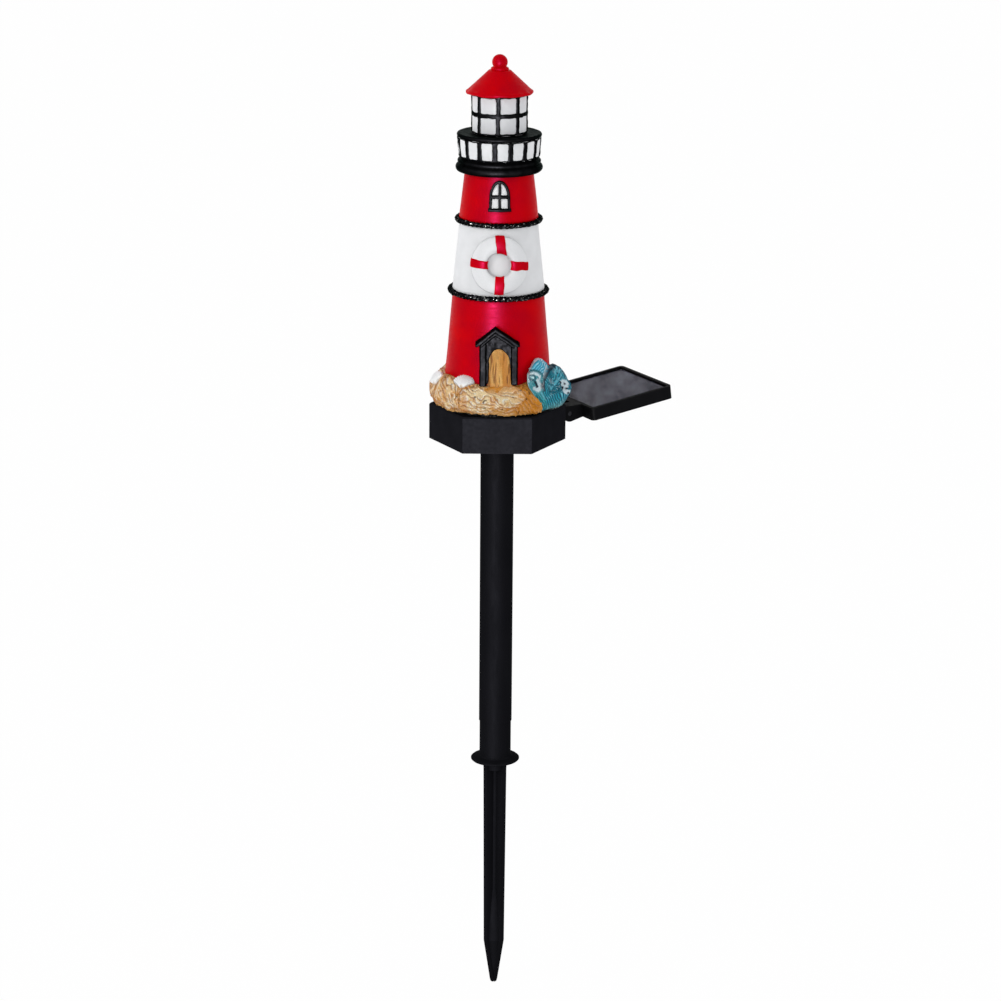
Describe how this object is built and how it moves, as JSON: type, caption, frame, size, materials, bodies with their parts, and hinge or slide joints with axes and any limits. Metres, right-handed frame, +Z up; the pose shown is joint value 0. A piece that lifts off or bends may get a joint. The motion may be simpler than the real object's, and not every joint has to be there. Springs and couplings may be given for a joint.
{
  "type": "garden lighthouse ornament",
  "caption": "Solar garden lighthouse on a ground stake: banded tower with gallery and lantern on a hexagonal base, side solar panel that tilts, push-fit pole and spike.",
  "frame": {"origin": "on the stake's axis at the ground line, which is the underside of the spike's collar", "axes": "+Z up along the stake, -Y towards the side with the door, window and lifebuoy, +X to its right; the solar panel lies at 30 degrees from +X towards +Y"},
  "size_m": [0.1578, 0.1264, 0.6301],
  "materials": {
    "stake_black": "satin moulded plastic, black",
    "base_black": "fine matte moulded plastic, black",
    "panel_black": "matte moulded plastic, black",
    "gasket_rubber": "soft foam rubber, dark grey",
    "screw_steel": "zinc-plated steel",
    "inner_black": "moulded plastic, black",
    "contact_metal": "nickel-plated spring steel",
    "cell_wrap": "shrunk plastic sleeve, plain green",
    "board_green": "lacquered circuit board",
    "button_grey": "moulded rubber, grey",
    "lead_sheath": "soft insulated wire",
    "led_board_white": "white-lacquered circuit board",
    "led_clear": "clear epoxy lens",
    "tower_red": "semi-gloss red paint over a casting",
    "tower_white": "semi-gloss white paint over a casting",
    "band_red": "glossy hand-painted red",
    "rope_black": "glossy black paint over a twisted rope",
    "trim_black": "glossy black paint",
    "pane_white": "white-painted panes",
    "door_tan": "carved wood grain, tan paint with a brown wash",
    "rock_tan": "carved rock, sand paint with a brown wash and cream dry-brushing",
    "shell_white": "white-painted scallop shells",
    "wave_teal": "glossy turquoise paint with white foam",
    "opal_white": "opal plastic that lets light through",
    "cell_grey": "dark amorphous solar cell",
    "cell_clear": "clear cover sheet"
  },
  "bodies": {
    "spike": {"ground_spike": "stake_black"},
    "pole": {"pole_tube": "stake_black"},
    "lamp": {"base_housing": "base_black", "base_cover": "base_black", "cover_gasket": "gasket_rubber", "cover_screws": "screw_steel", "battery_holder": "inner_black", "battery_contacts": "contact_metal", "battery_cell": "cell_wrap", "control_board": "board_green", "board_parts": "inner_black", "board_screws": "screw_steel", "switch_body": "inner_black", "base_leads": "lead_sheath", "led_leads": "lead_sheath", "led_board": "led_board_white", "led_lamp": "led_clear", "sculpture_screws": "screw_steel", "tower_lower": "tower_red", "tower_middle": "tower_white", "tower_upper": "tower_red", "lower_rope": "rope_black", "upper_rope": "rope_black", "window_frame": "trim_black", "window_panes": "pane_white", "lifebuoy": "tower_white", "lifebuoy_bands": "band_red", "porch_frame": "trim_black", "porch_roof": "trim_black", "door_leaf": "door_tan", "rock_base": "rock_tan", "sea_shells": "shell_white", "sea_waves": "wave_teal", "gallery_corbel": "trim_black", "gallery_wall": "pane_white", "gallery_posts": "trim_black", "gallery_deck": "trim_black", "lantern_opal": "opal_white", "lantern_frame": "trim_black", "roof_cone": "tower_red", "roof_finial": "tower_red"},
    "panel": {"panel_tray": "panel_black", "hinge_pins": "screw_steel", "solar_cell": "cell_grey", "cell_cover": "cell_clear", "panel_lead": "lead_sheath"},
    "button": {"switch_button": "button_grey"}
  },
  "joints": [
    {"name": "pole_pull", "type": "slide", "parent": "spike", "child": "pole", "axis": [0, 0, 1], "range_m": [0, 0.03]},
    {"name": "lamp_swivel", "type": "hinge", "parent": "pole", "child": "lamp", "pos_m": [0, 0, 0.2354], "axis": [0, 0, 1], "continuous": true},
    {"name": "panel_tilt", "type": "hinge", "parent": "lamp", "child": "panel", "pos_m": [0.03811, 0.022, 0.2354], "axis": [0.5, -0.866, 0], "range_deg": [-7.5, 42.5]},
    {"name": "switch_press", "type": "slide", "parent": "lamp", "child": "button", "axis": [0, 0, 1], "range_m": [0, 0.001], "stiffness_N_per_m": 300, "springref_m": -0.0015}
  ]
}
